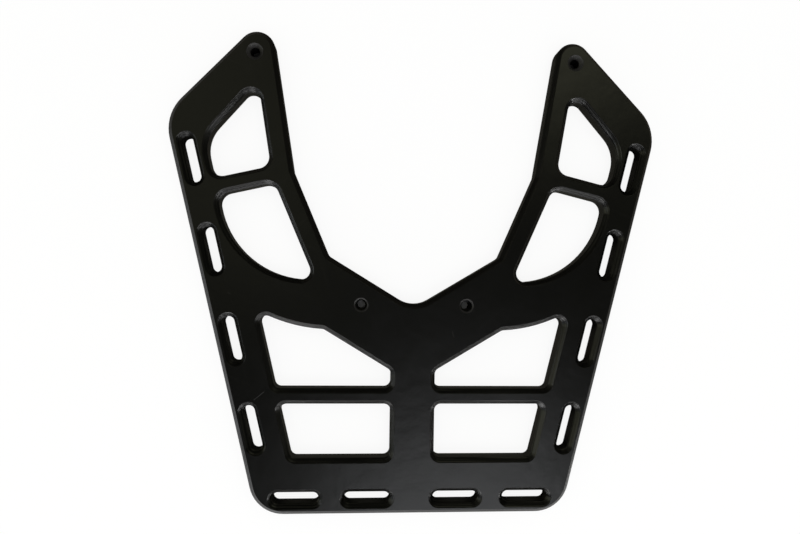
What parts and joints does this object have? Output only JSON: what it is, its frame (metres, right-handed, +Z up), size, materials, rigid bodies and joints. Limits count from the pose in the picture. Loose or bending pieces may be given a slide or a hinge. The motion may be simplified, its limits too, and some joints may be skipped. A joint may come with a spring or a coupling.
{
  "type": "rear luggage rack",
  "caption": "Flat black luggage rack plate for a motorbike's tail, with forked arms, bevelled windows, strap slots and screw holes.",
  "frame": {"origin": "middle of the footprint's box, on the underside", "axes": "+X across the bike to the right, +Y towards the arm tips, which point to the front of the bike, +Z up out of the bevelled face"},
  "size_m": [0.34, 0.3334, 0.012],
  "materials": {
    "black_polyethylene": "satin black sheet with routed edges"
  },
  "bodies": {
    "root": {"rack_plate": "black_polyethylene"}
  },
  "joints": []
}
